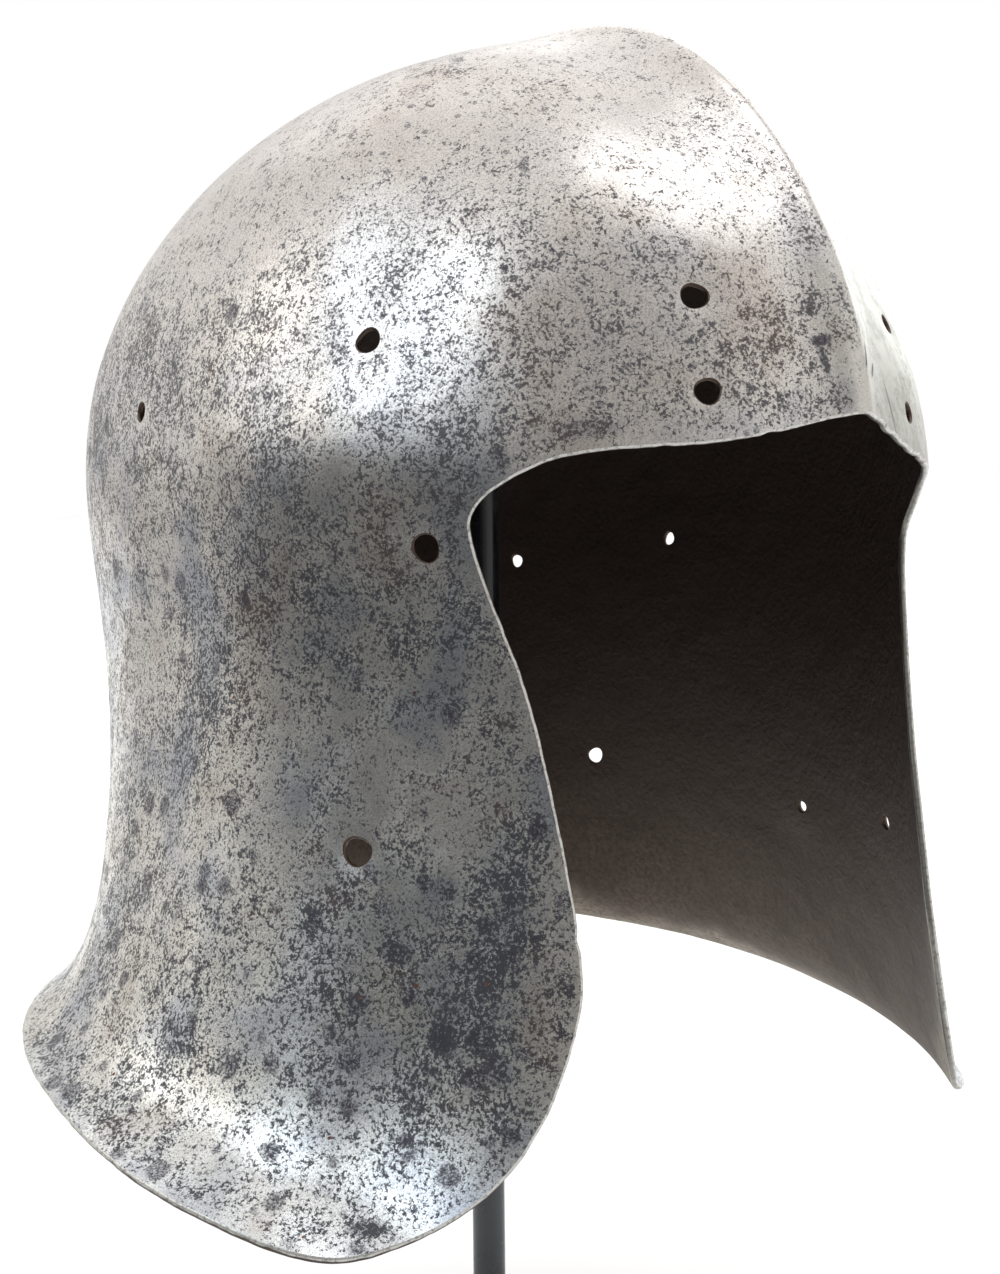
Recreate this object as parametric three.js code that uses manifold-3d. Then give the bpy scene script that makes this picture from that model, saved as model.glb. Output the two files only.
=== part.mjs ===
import * as THREE from "three";
import { mergeVertices } from "three/addons/utils/BufferGeometryUtils.js";
import Module from "manifold-3d";

// A sallet helmet on a plain stand. Millimetres, +Z up. The face looks along -Y and the wearer's right
// is -X. The origin is the centre of the stand's underside. The helmet is drawn in a frame of its own,
// with zero height at the brow, which stands browLevel above the floor.

// ---- the skull: one sheet of steel ----
const browLevel = 264;
const sideLean = 4.3; // degrees that the helmet leans sideways on its post
const wall = 1.8;
const crownTop = 113; // top of the plain sheet, without the keel
const crownRadius = 75; // radius at which the profile leaves the crown

// Plan sections, at every stationStep of run down the sheet from the crown.
const stationStep = 35;
const halfWidth = [0, 41, 70, 87, 95, 95, 91, 94, 101, 110, 124];
const frontReach = [0, 36, 66, 91, 108, 113, 113, 115, 118, 123, 128];
const rearReach = [0, 44, 82, 111, 131, 137, 127, 112, 101, 98, 108];
const crownForward = 6; // how far the crown's centre sits towards the face
const crownForwardRun = 70;

// Fullness of a plan section, at every fullnessStep of run: 2 is an ellipse, and more is boxier.
const fullnessStep = 110;
const frontFullness = [1.95, 2, 2.05, 2.2];
const rearFullness = [2.05, 2.35, 2.3, 1.8];

// The keel over the middle, at every keelStep from keelStart in front over the crown to the nape.
const keelStart = -220;
const keelStep = 55;
const keelHeight = [3, 5, 9, 13, 4.5, 1, 0.5, 0.5, 0.5];
const keelSpread = 8.5;
const keelEdge = 3;

// The flare of the rim, at every eighth of a turn from the face round to the tail.
const flare = [8, -4, 14, 34, 20];
const flareHeight = 9;
const flareLevel = -140;

// The free edge, as degrees round from the face and height: from the middle of the brow round the
// temple, down the cheek and along the rim to the middle of the tail.
const edgeLine = [
  [0, 24], [13, 16], [26, 13], [38, 11], [47.5, -1.5],
  [46.8, -8], [46.4, -12], [43.5, -24], [38, -44], [32, -94], [32, -107],
  [38, -141], [52, -155], [60, -153], [95, -137], [120, -134], [150, -126], [180, -127],
];

// Broad unevenness left by the hammer on the wearer's right: degrees round from the face, height, reach
// round in degrees, reach in height, rise (negative where the sheet is driven in).
const hammerForms = [
  [-72, 3, 24, 22, 4], [-82, -88, 12.5, 60, 4], [-29, 73, 12.5, 23, 2.2], [-53, -123, 10, 32, -3.5],
  [-63, -125, 10, 35, 2.5], [-36, 33, 30, 24, -1.3], [-85, -143, 23.5, 13.5, -2.8], [-61, 62, 11, 31, -2.1],
  [-81, -4, 10, 13, -1.3], [-49, -14, 13, 10, -1.2], [-90, -83, 12, 20, -1.3], [-12, 63, 10, 28, 2.9],
];
const hammerCalm = 45; // run from the crown within which the forms fade out

// Rivet holes: degrees round from the face (negative on the wearer's right), height, width of the hole.
const rivetHoles = [
  [-20, 45, 6.4], [-19.5, 25, 6.3], [-62, 33, 6], [-110, 17, 5],
  [-52, -11, 6.5], [-157, -98, 4], [-59, -77, 7],
  [20, 45.5, 5.5], [17, 24.5, 5.5], [137, -20, 4.5], [108, -10, 4.5],
  [121, -79, 5.5], [75, -84, 4], [50.5, -81, 4.5],
];

// ---- the stand ----
const postRadius = 4.5;
const postBehind = 13; // the post stands this far behind the helmet's middle
const clearance = 0.3;
const footRadius = 70;
const footHeight = 12;
const footRound = 3;
const padRadius = 26;
const padHeight = 12;
const padDome = 60; // radius of the pad's domed top
const padTop = 372.9;
const padSocket = 5;
const socketDepth = 8;

// ---- how finely the pieces are faceted ----
const columns = 64;
const columnCrowding = 0.6; // columns gather at the keel, front and rear
const rows = 26;
const rowCrowding = 0.3; // rows gather at the rim
const edgeSteps = 5; // outline points per span of edgeLine
const cutterColumns = 24;
const cutterInside = 30;
const cutterOutside = 220;
const cutterDrop = 20; // how far the cutter runs on below the lowest edge
const roundSegments = 48;
const holeSegments = 14;
const cornerSteps = 3;
const domeSteps = 6;

const radians = THREE.MathUtils.degToRad;
const sum = (numbers) => numbers.reduce((total, number) => total + number, 0);

// A uniform cubic B-spline. mirror is -1 or 1 where the curve carries on before its start as its own
// odd or even image, and 0 where it starts straight. It ends straight.
function spline(values, at, mirror) {
  const last = values.length - 1;
  const before = mirror === 0 ? 2 * values[0] - values[1] : mirror * values[1];
  const slope = values[last] - values[last - 1];
  const held = [before, ...values, values[last] + slope, values[last] + 2 * slope];
  const inside = Math.min(Math.max(at, 0), last);
  const i = Math.min(Math.floor(inside), last - 1);
  const f = inside - i;
  const weights = [(1 - f) ** 3, 3 * f ** 3 - 6 * f ** 2 + 4, -3 * f ** 3 + 3 * f ** 2 + 3 * f + 1, f ** 3];
  const bent = sum(weights.map((weight, k) => weight * held[i + k])) / 6;
  return bent + Math.max(at - last, 0) * slope;
}

// The run down the sheet and the height give each other.
const heightAt = (run) => crownTop - (Math.hypot(run, crownRadius) - crownRadius);
const runAt = (height) => Math.sqrt((crownTop - height + crownRadius) ** 2 - crownRadius ** 2);

// The plain sheet without its keel: angle round from the face, run down from the crown.
function plainPoint(angle, run) {
  const station = run / stationStep;
  const turn = (1 - Math.cos(angle)) / 2;
  const rearShare = turn * turn * (3 - 2 * turn);
  const mix = (front, rear) => front + (rear - front) * rearShare;
  const width = spline(halfWidth, station, -1);
  const reach = mix(spline(frontReach, station, -1), spline(rearReach, station, -1));
  const place = run / fullnessStep;
  const fullness = mix(spline(frontFullness, place, 1), spline(rearFullness, place, 1));
  const across = Math.abs(Math.sin(angle) / width) ** fullness;
  const along = Math.abs(Math.cos(angle) / reach) ** fullness;
  const height = heightAt(run);
  const flareHere = spline(flare, Math.abs(angle) / (Math.PI / 4), 1);
  const lip = flareHere * Math.exp((flareLevel - height) / flareHeight);
  const radius = (across + along) ** (-1 / fullness) + lip;
  const centre = -crownForward * Math.exp(-((run / crownForwardRun) ** 2));
  return new THREE.Vector3(radius * Math.sin(angle), centre - radius * Math.cos(angle), height);
}

function outwardAt(angle, run) {
  const turn = 1e-3;
  const drop = 0.2;
  const round = plainPoint(angle + turn, run).sub(plainPoint(angle - turn, run));
  const down = plainPoint(angle, run + drop).sub(plainPoint(angle, Math.max(run - drop, 0.01)));
  return down.cross(round).normalize();
}

// How far the hammered forms raise the sheet.
function hammered(angle, run) {
  const degrees = THREE.MathUtils.radToDeg(angle);
  const height = heightAt(run);
  const rises = hammerForms.map(([round, level, wide, tall, rise]) => {
    return rise * Math.exp(-(((degrees - round) / wide) ** 2) - ((height - level) / tall) ** 2);
  });
  return sum(rises) * (1 - Math.exp(-((run / hammerCalm) ** 2)));
}

// A point of the sheet with its keel and its hammered forms, depth under the outside.
function sheetPoint(angle, run, depth) {
  if (run === 0) {
    const keelTop = crownTop + spline(keelHeight, -keelStart / keelStep, 0);
    return new THREE.Vector3(0, -crownForward, keelTop - depth);
  }
  const point = plainPoint(angle, run);
  const along = Math.cos(angle) > 0 ? -run : run;
  const fade = Math.exp((keelEdge - Math.hypot(point.x, keelEdge)) / keelSpread);
  const keel = spline(keelHeight, (along - keelStart) / keelStep, 0) * fade;
  return point.addScaledVector(outwardAt(angle, run), keel + hammered(angle, run) - depth);
}

// The free edge as fine points of angle and height.
function freeEdge() {
  const tail = edgeLine.length - 1;
  const angles = edgeLine.map((point) => point[0]);
  const heights = edgeLine.map((point) => point[1]);
  const fine = [];
  for (let k = 0; k <= tail * edgeSteps; k += 1) {
    const at = k / edgeSteps;
    fine.push({ angle: radians(spline(angles, at, -1)), height: spline(heights, at, 1) });
  }
  return fine;
}

const edge = freeEdge();
const lowest = edge.reduce((low, point, k) => (point.height < edge[low].height ? k : low), 0);

// Height of the rim behind the cheek's lowest point, and level in front of it, where the face opening
// is cut away afterwards.
function rimHeight(angle) {
  const round = Math.abs(angle);
  if (round <= edge[lowest].angle) {
    return edge[lowest].height;
  }
  const next = edge.findIndex((point, k) => k > lowest && point.angle >= round);
  if (next < 0) {
    return edge[edge.length - 1].height;
  }
  const share = (round - edge[next - 1].angle) / (edge[next].angle - edge[next - 1].angle);
  return THREE.MathUtils.lerp(edge[next - 1].height, edge[next].height, share);
}

// A closed body through rings of points. Points that fall together become one, so a ring can shrink
// to a point or a line.
function loft(rings) {
  const known = new Map();
  const positions = [];
  const vertexOf = (point) => {
    const key = point.toArray().map((value) => value.toFixed(4)).join();
    if (!known.has(key)) {
      known.set(key, known.size);
      positions.push(...point.toArray());
    }
    return known.get(key);
  };
  const ids = rings.map((ring) => ring.map(vertexOf));
  const triangles = [];
  const addTriangle = (a, b, c) => {
    if (a !== b && b !== c && c !== a) {
      triangles.push(a, b, c);
    }
  };
  for (let k = 0; k + 1 < ids.length; k += 1) {
    const count = ids[k].length;
    for (let j = 0; j < count; j += 1) {
      const next = (j + 1) % count;
      addTriangle(ids[k][j], ids[k + 1][j], ids[k + 1][next]);
      addTriangle(ids[k][j], ids[k + 1][next], ids[k][next]);
    }
  }
  return bodyGeometry(positions, triangles);
}

function bodyGeometry(positions, triangles) {
  const geometry = new THREE.BufferGeometry();
  geometry.setAttribute("position", new THREE.Float32BufferAttribute(positions, 3));
  geometry.setIndex(triangles);
  geometry.computeVertexNormals();
  return geometry;
}

const wasm = await Module();
wasm.setup();

function toSolid(geometry) {
  const vertProperties = new Float32Array(geometry.attributes.position.array);
  const triVerts = new Uint32Array(geometry.index.array);
  return new wasm.Manifold(new wasm.Mesh({ numProp: 3, vertProperties, triVerts }));
}

function toGeometry(solid) {
  const mesh = solid.getMesh();
  return bodyGeometry([...mesh.vertProperties], [...mesh.triVerts]);
}

// Columns round the skull, closer together at the keel.
function columnAngle(j) {
  const even = (2 * Math.PI * j) / columns;
  return even - (columnCrowding * Math.sin(2 * even)) / 2;
}

// The whole sheet down to the rim, still closed over the face.
function closedSheet() {
  const ring = (k, depth) => {
    const share = k / rows;
    const eased = share + rowCrowding * share * (1 - share);
    return Array.from({ length: columns }, (unused, j) => {
      const angle = columnAngle(j);
      const folded = angle > Math.PI ? angle - 2 * Math.PI : angle;
      return sheetPoint(folded, eased * runAt(rimHeight(folded)), depth);
    });
  };
  const outside = Array.from({ length: rows + 1 }, (unused, k) => ring(k, 0));
  const inside = Array.from({ length: rows + 1 }, (unused, k) => ring(rows - k, wall));
  return loft([...outside, ...inside]);
}

// What is cut away for the face: level slices between the two front edges, from well inside the
// skull to well outside it.
function faceCutter() {
  const slice = (angle, height) => {
    const arc = (radius, j) => {
      const at = angle * ((2 * j) / cutterColumns - 1);
      return new THREE.Vector3(radius * Math.sin(at), -radius * Math.cos(at), height);
    };
    const steps = Array.from({ length: cutterColumns + 1 }, (unused, j) => j);
    const outer = steps.map((j) => arc(cutterOutside, j));
    const inner = steps.map((j) => arc(cutterInside, cutterColumns - j));
    return [...outer, ...inner];
  };
  const slices = edge.slice(0, lowest + 1).map((point) => slice(point.angle, point.height));
  const floor = edge[lowest].height - cutterDrop;
  slices.push(slice(edge[lowest].angle, floor));
  const middle = new THREE.Vector3(0, -(cutterInside + cutterOutside) / 2, floor);
  slices.push(slices[0].map(() => middle));
  return loft(slices);
}

// One rivet hole: a round cutter square to the sheet.
function holeCutter([degrees, height, width]) {
  const angle = radians(degrees);
  const run = runAt(height);
  const cutter = new THREE.CylinderGeometry(width / 2, width / 2, 6 * wall, holeSegments);
  const up = new THREE.Vector3(0, 1, 0);
  cutter.applyQuaternion(new THREE.Quaternion().setFromUnitVectors(up, outwardAt(angle, run)));
  const centre = sheetPoint(angle, run, wall / 2);
  cutter.translate(centre.x, centre.y, centre.z);
  return weld(cutter);
}

// A lathe or cylinder as one closed body: points that fall together are merged, and the empty
// triangles that leaves are dropped.
function weld(geometry) {
  geometry.deleteAttribute("normal");
  geometry.deleteAttribute("uv");
  const merged = mergeVertices(geometry, 1e-4);
  const corners = merged.index.array;
  const kept = [];
  for (let k = 0; k < corners.length; k += 3) {
    const [a, b, c] = corners.slice(k, k + 3);
    if (a !== b && b !== c && c !== a) {
      kept.push(a, b, c);
    }
  }
  return bodyGeometry([...merged.attributes.position.array], kept);
}

function skullGeometry() {
  const opened = toSolid(closedSheet()).subtract(toSolid(faceCutter()));
  const pierced = rivetHoles.reduce((sheet, hole) => sheet.subtract(toSolid(holeCutter(hole))), opened);
  return toGeometry(pierced);
}

// A turned piece: its profile, as radius and height, spun about the post's axis.
function turned(profile) {
  const points = profile.map(([radius, height]) => new THREE.Vector2(radius, height));
  const lathe = new THREE.LatheGeometry(points, roundSegments);
  lathe.rotateX(Math.PI / 2);
  return weld(lathe);
}

// The stand: a foot and a pad, each with a socket that takes the post with clearance all round.
const socketRadius = postRadius + clearance;
const padFoot = padTop - padHeight;

function footGeometry() {
  const steps = Array.from({ length: cornerSteps + 1 }, (unused, k) => (Math.PI / 2) * (k / cornerSteps));
  const rounded = steps.map((turn) => [
    footRadius - footRound + footRound * Math.cos(turn),
    footHeight - footRound + footRound * Math.sin(turn),
  ]);
  const socketFloor = footHeight - socketDepth;
  const socket = [[socketRadius, footHeight], [socketRadius, socketFloor], [0, socketFloor]];
  return turned([[0, 0], [footRadius, 0], ...rounded, ...socket]);
}

function postGeometry() {
  const low = footHeight - socketDepth + clearance;
  const high = padFoot + padSocket - clearance;
  return turned([[0, low], [postRadius, low], [postRadius, high], [0, high]]);
}

function padGeometry() {
  const widest = Math.asin(padRadius / padDome);
  const steps = Array.from({ length: domeSteps + 1 }, (unused, k) => widest * (1 - k / domeSteps));
  const dome = steps.map((turn) => [padDome * Math.sin(turn), padTop - padDome * (1 - Math.cos(turn))]);
  const socketTop = padFoot + padSocket;
  const socket = [[0, socketTop], [socketRadius, socketTop], [socketRadius, padFoot]];
  return turned([...socket, [padRadius, padFoot], ...dome]);
}

const steel = new THREE.MeshStandardMaterial({ color: 0x9c9a98, roughness: 0.35, metalness: 0.9 });
const blackPaint = new THREE.MeshStandardMaterial({ color: 0x17181a, roughness: 0.25, metalness: 0.1 });

function piece(name, geometry, material) {
  const mesh = new THREE.Mesh(geometry, material);
  mesh.name = name;
  return mesh;
}

const skull = piece("skull", skullGeometry(), steel);
skull.position.set(0, -postBehind, browLevel);
skull.rotation.y = radians(sideLean);

const stand = new THREE.Group();
stand.add(piece("stand_foot", footGeometry(), blackPaint));
stand.add(piece("stand_post", postGeometry(), blackPaint));
stand.add(piece("stand_pad", padGeometry(), blackPaint));

const helmetOnStand = new THREE.Group();
helmetOnStand.add(skull, stand);

export default helmetOnStand;
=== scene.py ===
import math

import bpy
import numpy as np
from mathutils import Matrix, Vector, noise
from mathutils.geometry import delaunay_2d_cdt
from mathutils.kdtree import KDTree


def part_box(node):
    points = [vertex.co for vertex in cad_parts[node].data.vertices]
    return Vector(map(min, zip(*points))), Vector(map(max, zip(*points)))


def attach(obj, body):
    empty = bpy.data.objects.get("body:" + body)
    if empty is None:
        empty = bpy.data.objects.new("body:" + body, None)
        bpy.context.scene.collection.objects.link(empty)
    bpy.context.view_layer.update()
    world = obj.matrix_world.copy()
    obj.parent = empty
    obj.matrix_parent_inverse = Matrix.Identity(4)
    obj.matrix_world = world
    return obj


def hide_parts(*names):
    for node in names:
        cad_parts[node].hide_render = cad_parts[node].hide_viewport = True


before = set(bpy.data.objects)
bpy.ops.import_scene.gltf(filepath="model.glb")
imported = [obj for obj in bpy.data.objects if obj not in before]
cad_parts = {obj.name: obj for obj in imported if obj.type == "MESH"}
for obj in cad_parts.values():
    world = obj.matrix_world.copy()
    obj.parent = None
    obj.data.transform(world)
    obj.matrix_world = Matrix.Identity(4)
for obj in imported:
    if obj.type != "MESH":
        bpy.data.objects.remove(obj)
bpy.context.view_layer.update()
mm = 0.001
print("frame loaded")

skull = {  # in millimetres, with heights from the level of the temples
    "lean": 4.3,  # degrees sideways on the post
    "wall": 1.8,
    "crownTop": 113,
    "crownRadius": 75,
    "stationStep": 35,  # run down the sheet between two plan sections
    "halfWidth": [0, 41, 70, 87, 95, 95, 91, 94, 101, 110, 124],
    "frontReach": [0, 36, 66, 91, 108, 113, 113, 115, 118, 123, 128],
    "rearReach": [0, 44, 82, 111, 131, 137, 127, 112, 101, 98, 108],
    "crownForward": 6,
    "crownForwardRun": 70,
    "fullnessStep": 110,
    "frontFullness": [1.95, 2, 2.05, 2.2],  # 2 is an ellipse in plan, more is boxier
    "rearFullness": [2.05, 2.35, 2.3, 1.8],
    "keelStart": -220,
    "keelStep": 55,
    "keelHeight": [3, 5, 9, 13, 4.5, 1, 0.5, 0.5, 0.5],
    "keelSpread": 8.5,
    "keelEdge": 3,
    "flare": [8, -4, 14, 34, 20],  # at every eighth of a turn from the face to the tail
    "flareHeight": 9,
    "flareLevel": -140,
    "edgeLine": [  # degrees round from the face, height: brow, temple, cheek, rim, tail
        (0, 24), (13, 16), (26, 13), (38, 11), (47.5, -1.5),
        (46.8, -8), (46.4, -12), (43.5, -24), (38, -44), (32, -94), (32, -107),
        (38, -141), (52, -155), (60, -153), (95, -137), (120, -134), (150, -126), (180, -127),
    ],
    "hammerForms": [  # degrees round, height, reach round, reach in height, rise
        (-72, 3, 24, 22, 4), (-82, -88, 12.5, 60, 4), (-29, 73, 12.5, 23, 2.2),
        (-53, -123, 10, 32, -3.5), (-63, -125, 10, 35, 2.5), (-36, 33, 30, 24, -1.3),
        (-85, -143, 23.5, 13.5, -2.8), (-61, 62, 11, 31, -2.1), (-81, -4, 10, 13, -1.3),
        (-49, -14, 13, 10, -1.2), (-90, -83, 12, 20, -1.3), (-12, 63, 10, 28, 2.9),
    ],
    "hammerCalm": 45,  # run from the crown within which the forms fade out
    "rivetHoles": [  # degrees round, height, width
        (-20, 45, 6.4), (-19.5, 25, 6.3), (-62, 33, 6), (-110, 17, 5),
        (-52, -11, 6.5), (-157, -98, 4), (-59, -77, 7),
        (20, 45.5, 5.5), (17, 24.5, 5.5), (137, -20, 4.5), (108, -10, 4.5),
        (121, -79, 5.5), (75, -84, 4), (50.5, -81, 4.5),
    ],
}

skullMesh = {
    "outerFacet": 2.0,
    "innerFacet": 2.9,
    "edgeFacet": 1.1,
    "holeFacet": 0.88,
    "ringSpacing": 0.87,  # of a facet, so that the triangles are nearly even
    "edgeGap": 0.62,  # of a facet, left free beside the edges
    "edgeRows": 5,
    "edgeRound": 0.6,  # 1 is a half round edge
    "dent": 0.10,  # depth of the small hammered unevenness
    "dentWidth": 26,
    "ripple": 0.025,
    "rippleWidth": 9,
    "lipDip": 0.16,  # how far each side dips at a rivet hole
    "lipWidth": 0.9,
    "holeWobble": (0.05, 0.04),  # of a rivet hole's width
}

edgeWear = {
    "leftBrow": (1, 4, 24, 34),  # degrees where the ragged wear starts, is full, lessens and ends
    "bites": (4.5, 0.25, 1.44),  # width, how far they join up, depth
    "chips": (1.9, 0.81),  # width, depth
    "waver": (6, 0.16),  # the slight unevenness of the whole edge
    "roughness": 0.1,
    "nickWidth": 1.6,
    "perDegree": 1.9,  # millimetres round the edge for a degree
    "nicks": [  # degrees round, height, depth
        (-34, -97, 0.8), (-34, -104, 0.6), (-33, -91, 0.5), (-12, 17, 0.4), (-25, 13, 0.3),
    ],
}


def spline(values, at, mirror):
    # uniform cubic B-spline; mirror -1 odd, 1 even, 0 straight at its start, straight at its end
    values = np.asarray(values, float)
    last = len(values) - 1
    before = 2 * values[0] - values[1] if mirror == 0 else mirror * values[1]
    slope = values[-1] - values[-2]
    held = np.concatenate([[before], values, [values[-1] + slope, values[-1] + 2 * slope]])
    at = np.asarray(at, float)
    inside = np.clip(at, 0, last)
    i = np.minimum(np.floor(inside).astype(int), last - 1)
    f = inside - i
    weights = ((1 - f) ** 3, 3 * f**3 - 6 * f**2 + 4, -3 * f**3 + 3 * f**2 + 3 * f + 1, f**3)
    bent = sum(weight * held[i + k] for k, weight in enumerate(weights)) / 6
    return bent + np.maximum(at - last, 0) * slope


def heightAt(run):
    return skull["crownTop"] - (np.hypot(run, skull["crownRadius"]) - skull["crownRadius"])


def runAt(height):
    reach = skull["crownTop"] - height + skull["crownRadius"]
    return np.sqrt(np.maximum(reach**2 - skull["crownRadius"] ** 2, 0))


def plainPoint(angle, run):
    # the outside without keel and hammered forms, by angle round and run down the sheet
    station = run / skull["stationStep"]
    turn = (1 - np.cos(angle)) / 2
    rearShare = turn * turn * (3 - 2 * turn)
    front = spline(skull["frontReach"], station, -1)
    rear = spline(skull["rearReach"], station, -1)
    width = spline(skull["halfWidth"], station, -1)
    reach = front + (rear - front) * rearShare
    place = run / skull["fullnessStep"]
    boxFront = spline(skull["frontFullness"], place, 1)
    boxRear = spline(skull["rearFullness"], place, 1)
    fullness = boxFront + (boxRear - boxFront) * rearShare
    across = np.abs(np.sin(angle) / width) ** fullness
    along = np.abs(np.cos(angle) / reach) ** fullness
    height = heightAt(run)
    lip = spline(skull["flare"], np.abs(angle) / (math.pi / 4), 1)
    lip = lip * np.exp((skull["flareLevel"] - height) / skull["flareHeight"])
    radius = (across + along) ** (-1 / fullness) + lip
    centre = -skull["crownForward"] * np.exp(-((run / skull["crownForwardRun"]) ** 2))
    return np.stack([radius * np.sin(angle), centre - radius * np.cos(angle), height], -1)


def unit(vectors):
    return vectors / (np.linalg.norm(vectors, axis=-1, keepdims=True) + 1e-12)


def hammered(angle, run):
    # how far the broad hammered forms raise the sheet
    degrees = (np.degrees(angle) + 180) % 360 - 180
    height = heightAt(run)
    rise = 0
    for centre, level, wide, tall, high in skull["hammerForms"]:
        rise = rise + high * np.exp(-(((degrees - centre) / wide) ** 2) - ((height - level) / tall) ** 2)
    return rise * (1 - np.exp(-((run / skull["hammerCalm"]) ** 2)))


def keeled(angle, run):
    # the outside of the sheet with its keel and its hammered forms
    point = plainPoint(angle, run)
    turn, drop = 1e-3, 0.2
    around = plainPoint(angle + turn, run) - plainPoint(angle - turn, run)
    down = plainPoint(angle, run + drop) - plainPoint(angle, np.maximum(run - drop, 0.01))
    outward = unit(np.cross(down, around))
    along = np.where(np.cos(angle) > 0, -run, run)
    fade = np.exp((skull["keelEdge"] - np.hypot(point[..., 0], skull["keelEdge"])) / skull["keelSpread"])
    keel = spline(skull["keelHeight"], (along - skull["keelStart"]) / skull["keelStep"], 0) * fade
    rise = keel + hammered(angle, run)
    return point + outward * rise[..., None], outward


def slopes(angle, run):
    # how the sheet moves per radian round and per millimetre of run
    turn, drop = 2e-3, 0.4
    perTurn = (keeled(angle + turn, run)[0] - keeled(angle - turn, run)[0]) / (2 * turn)
    perRun = (keeled(angle, run + drop)[0] - keeled(angle, run - drop)[0]) / (2 * drop)
    return perTurn, perRun


def shifted(angle, run, move):
    # slides places on the sheet by small moves in space
    perTurn, perRun = slopes(angle, run)
    a, b, c = (perTurn**2).sum(-1), (perTurn * perRun).sum(-1), (perRun**2).sum(-1)
    p, q = (move * perTurn).sum(-1), (move * perRun).sum(-1)
    det = a * c - b * b
    return angle + (c * p - b * q) / det, run + (a * q - b * p) / det


def evenly(points, step):
    # resamples a path to equal steps, as fractional places along it
    length = np.concatenate([[0], np.cumsum(np.linalg.norm(np.diff(points, axis=0), axis=1))])
    count = max(int(round(length[-1] / step)), 3)
    return np.interp(np.linspace(0, length[-1], count + 1), length, np.arange(len(points)))


def smoothNoise(points, width, seed):
    # soft noise at each point, about -1 to 1
    scale = 1 / width
    offset = Vector((seed * 17.3, seed * 5.1, seed * 9.7))
    return np.array([noise.noise(Vector(p) * scale + offset) for p in points.tolist()])


def edgeLoop(step):
    # the free edge as one closed loop of places on the sheet, right brow round to left brow
    line = skull["edgeLine"]
    places = np.linspace(0, len(line) - 1, 600)
    angle = np.radians(spline([p[0] for p in line], places, -1))
    angle[-1] = math.pi
    run = runAt(spline([p[1] for p in line], places, 1))
    index = np.arange(len(places))
    at = evenly(keeled(angle, run)[0], step)
    angle, run = np.interp(at, index, angle), np.interp(at, index, run)
    return np.concatenate([-angle, angle[-2:0:-1]]), np.concatenate([run, run[-2:0:-1]])


def outOfSheet(angle, run):
    # at each place of a closed loop, the direction in the sheet that leaves the steel
    point, outward = keeled(angle, run)
    ahead = np.roll(point, -1, 0) - np.roll(point, 1, 0)
    return unit(np.cross(outward, ahead))


def raggedEdge(angle, run):
    # bites and nicks in the edge: the left brow is worn ragged, the rest only a little
    point = keeled(angle, run)[0]
    degrees = np.degrees(angle)
    inBrow = np.interp(degrees, edgeWear["leftBrow"], (0, 1, 1, 0)) * (point[:, 2] > 0)
    biteWidth, joined, biteDepth = edgeWear["bites"]
    chipWidth, chipDepth = edgeWear["chips"]
    waverWidth, waver = edgeWear["waver"]
    fine = smoothNoise(point, chipWidth, 4)
    bite = np.maximum(smoothNoise(point, biteWidth, 3) + joined, 0) * biteDepth
    bite = bite + np.maximum(fine, 0) * chipDepth
    push = waver * smoothNoise(point, waverWidth, 5) + edgeWear["roughness"] * fine - inBrow * bite
    for place, height, depth in edgeWear["nicks"]:
        away = np.hypot((degrees - place) * edgeWear["perDegree"], point[:, 2] - height)
        push = push - depth * np.exp(-((away / edgeWear["nickWidth"]) ** 2))
    return shifted(angle, run, outOfSheet(angle, run) * push[:, None])


def holeLoop(hole, seed, step):
    # a worn, not quite round rivet hole as a closed loop of places, turning against the sheet's edge
    degrees, height, width = hole
    count = max(int(math.pi * width / step), 14)
    turn = -np.linspace(0, 2 * math.pi, count, endpoint=False)
    oval, threeway = skullMesh["holeWobble"]
    wobble = 1 + oval * np.cos(2 * turn + seed) + threeway * np.cos(3 * turn + 2.3 * seed)
    angle = np.full(count, math.radians(degrees))
    run = np.full(count, runAt(height))
    perTurn, perRun = slopes(angle, run)
    side, down = unit(perTurn), unit(perRun)
    reach = (width / 2 * wobble)[:, None]
    move = (side * np.cos(turn)[:, None] + down * np.sin(turn)[:, None]) * reach
    return shifted(angle, run, move)


def disc(angle, run, table):
    # lays the sheet flat round the crown with its small shapes kept true
    away = np.interp(run, table[0], table[1])
    return np.stack([away * np.sin(angle), -away * np.cos(angle)], -1)


def lowestRun():
    return float(runAt(min(height for _, height in skull["edgeLine"])))


def discTable():
    # how far out each run of the sheet lies on the flat disc, from six paths down the sheet
    run = np.linspace(0.5, lowestRun() + 3, 2000)
    paths = [keeled(np.full_like(run, a), run)[0] for a in np.radians((-150, -90, -40, 40, 90, 150))]
    steps = [np.linalg.norm(np.diff(path, axis=0, prepend=path[:1]), axis=1) for path in paths]
    length = np.mean(np.cumsum(steps, axis=1), 0)
    radius = np.mean([np.hypot(path[:, 0], path[:, 1]) for path in paths], 0)
    growth = np.concatenate([[0], np.cumsum(np.diff(length) / ((radius[1:] + radius[:-1]) / 2))])
    return np.concatenate([[0], run]), np.concatenate([[0], radius[0] * np.exp(growth)])


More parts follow.
